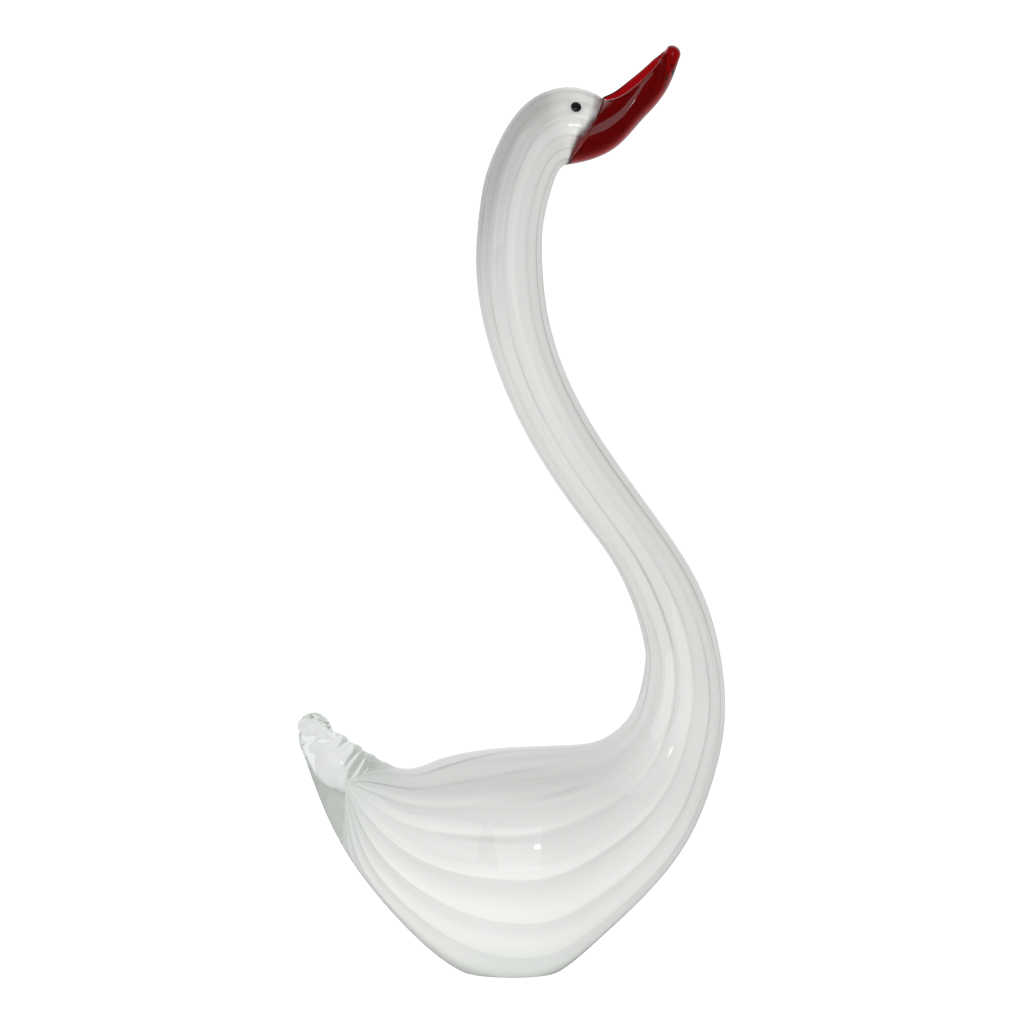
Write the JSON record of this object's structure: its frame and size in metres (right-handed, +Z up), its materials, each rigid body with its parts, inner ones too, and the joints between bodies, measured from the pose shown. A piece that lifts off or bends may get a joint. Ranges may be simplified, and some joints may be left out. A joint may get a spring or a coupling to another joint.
{
  "type": "wine decanter",
  "caption": "Hollow hand-blown glass decanter in the shape of a swan, with an open beak to fill and pour from.",
  "frame": {"origin": "middle of the flat ground foot, on the surface it stands on", "axes": "+Z up, +X from the tail towards the breast and beak, +Y to the swan's left"},
  "size_m": [0.2117, 0.1056, 0.4568],
  "materials": {
    "clear_glass": "fire-polished clear glass",
    "white_glass": "milky optic-ribbed glass",
    "red_glass": "fire-polished transparent red glass",
    "black_glass": "fire-polished opaque black glass"
  },
  "bodies": {
    "root": {"clear_casing": "clear_glass", "white_layer": "white_glass", "beak": "red_glass", "eye_left": "black_glass", "eye_right": "black_glass", "tail": "clear_glass"}
  },
  "joints": []
}
